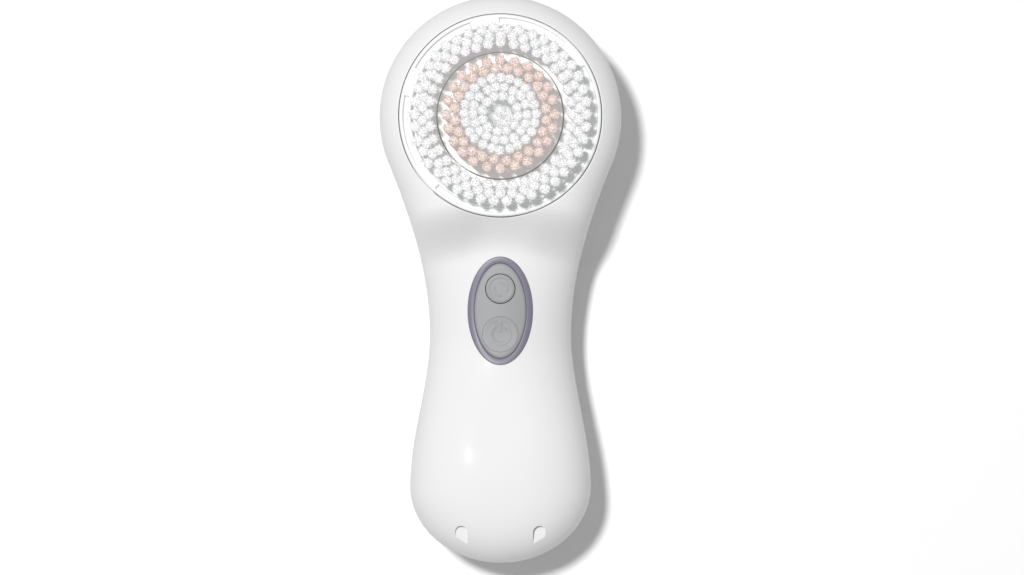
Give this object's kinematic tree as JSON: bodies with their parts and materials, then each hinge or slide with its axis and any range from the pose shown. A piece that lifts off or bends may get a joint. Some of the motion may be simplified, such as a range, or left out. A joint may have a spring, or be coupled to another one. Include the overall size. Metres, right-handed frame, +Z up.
{
  "type": "facial cleansing brush",
  "caption": "Hand-held facial cleansing brush: round oscillating brush head on a waisted, rounded handle with an oval two-button panel.",
  "frame": {"origin": "on the table under the middle of the brush's length and width, with the brush lying on its back", "axes": "+Z up out of the brush face, along the brush head's axis; +Y along the handle towards the brush head; +X to the right seen from the front"},
  "size_m": [0.06, 0.141, 0.051],
  "materials": {
    "white_shell": "satin white moulded ABS",
    "socket_white": "matte white moulded plastic",
    "frosted_plastic": "frosted, slightly see-through plastic",
    "bezel_lavender": "lavender-grey satin plastic",
    "grey_silicone": "mid-grey matte silicone",
    "pink_bristle": "pale pink nylon filament",
    "clear_bristle": "clear nylon filament",
    "nylon": "natural moulded nylon",
    "seal_rubber": "matte black rubber",
    "black_plastic": "matte black moulded plastic",
    "board_green": "green solder mask",
    "led_lens": "clear moulded lens",
    "battery_wrap": "shrink-wrap sleeve",
    "copper_winding": "enamelled copper wire",
    "ferrite": "sintered ferrite",
    "core_iron": "laminated iron",
    "magnet_plate": "nickel-plated magnet",
    "steel": "plain steel",
    "red_wire": "wire insulation",
    "black_wire": "wire insulation",
    "pale_wire": "wire insulation"
  },
  "bodies": {
    "handle": {"front_shell": "white_shell", "rear_shell": "white_shell", "shell_gasket": "seal_rubber", "brush_socket": "socket_white", "socket_o_ring": "seal_rubber", "hub_seal": "seal_rubber", "seal_clamp_ring": "nylon", "seal_screws": "steel", "button_bezel": "bezel_lavender", "button_pad": "grey_silicone", "speed_switch": "black_plastic", "power_switch": "black_plastic", "circuit_board": "board_green", "board_components": "black_plastic", "status_leds": "led_lens", "board_screws": "steel", "battery": "battery_wrap", "battery_contacts": "steel", "battery_cradle": "nylon", "charging_coil": "copper_winding", "ferrite_disc": "ferrite", "coil_tray": "nylon", "charger_magnets": "magnet_plate", "motor_frame": "nylon", "motor_screws": "steel", "lower_bearing": "steel", "upper_bearing": "steel", "stator_core": "core_iron", "coil_bobbin": "nylon", "drive_coil": "copper_winding", "centring_springs": "steel", "motor_leads": "red_wire", "battery_leads": "black_wire", "charging_leads": "pale_wire"},
    "oscillator": {"drive_shaft": "steel", "armature_arm": "core_iron", "armature_magnets": "magnet_plate", "drive_hub": "nylon", "hub_screw": "steel"},
    "speed_key": {"speed_button": "grey_silicone"},
    "power_key": {"power_button": "grey_silicone"},
    "speed_switch_key": {"speed_plunger": "nylon"},
    "power_switch_key": {"power_plunger": "nylon"},
    "head_bearing": {"bearing_ring": "nylon"},
    "brush_head": {"retainer_ring": "frosted_plastic", "outer_tuft_plate": "frosted_plastic", "outer_tufts": "clear_bristle", "outer_guide_tufts": "clear_bristle"},
    "inner_brush": {"inner_tuft_plate": "frosted_plastic", "drive_socket": "nylon", "snap_clip": "steel", "pink_tufts": "pink_bristle", "pink_guide_tufts": "pink_bristle", "clear_tufts": "clear_bristle"}
  },
  "joints": [
    {"name": "hub_swing", "type": "hinge", "parent": "handle", "child": "oscillator", "pos_m": [0, 0.0405, 0.03], "axis": [0, 0, 1], "range_deg": [-8, 8], "stiffness_Nm_per_rad": 0.05, "deforming": ["centring_springs"]},
    {"name": "head_pull", "type": "slide", "parent": "handle", "child": "head_bearing", "axis": [0, 0, 1], "range_m": [0, 0.024]},
    {"name": "head_twist", "type": "hinge", "parent": "head_bearing", "child": "brush_head", "pos_m": [0, 0.0405, 0.03], "axis": [0, 0, 1], "range_deg": [-20, 0]},
    {"name": "brush_swing", "type": "hinge", "parent": "head_bearing", "child": "inner_brush", "pos_m": [0, 0.0405, 0.03], "axis": [0, 0, 1], "range_deg": [-8, 8]},
    {"name": "speed_button_press", "type": "slide", "parent": "handle", "child": "speed_key", "axis": [0, 0, -1], "range_m": [0, 0.0005], "stiffness_N_per_m": 350},
    {"name": "speed_switch_press", "type": "slide", "parent": "handle", "child": "speed_switch_key", "axis": [0, 0, -1], "range_m": [0, 0.0005]},
    {"name": "power_button_press", "type": "slide", "parent": "handle", "child": "power_key", "axis": [0, 0, -1], "range_m": [0, 0.0005], "stiffness_N_per_m": 350},
    {"name": "power_switch_press", "type": "slide", "parent": "handle", "child": "power_switch_key", "axis": [0, 0, -1], "range_m": [0, 0.0005]}
  ],
  "couplings": [
    {"joint": "brush_swing", "follows": "hub_swing", "ratio": 1},
    {"joint": "speed_switch_press", "follows": "speed_button_press", "ratio": 1},
    {"joint": "power_switch_press", "follows": "power_button_press", "ratio": 1}
  ]
}
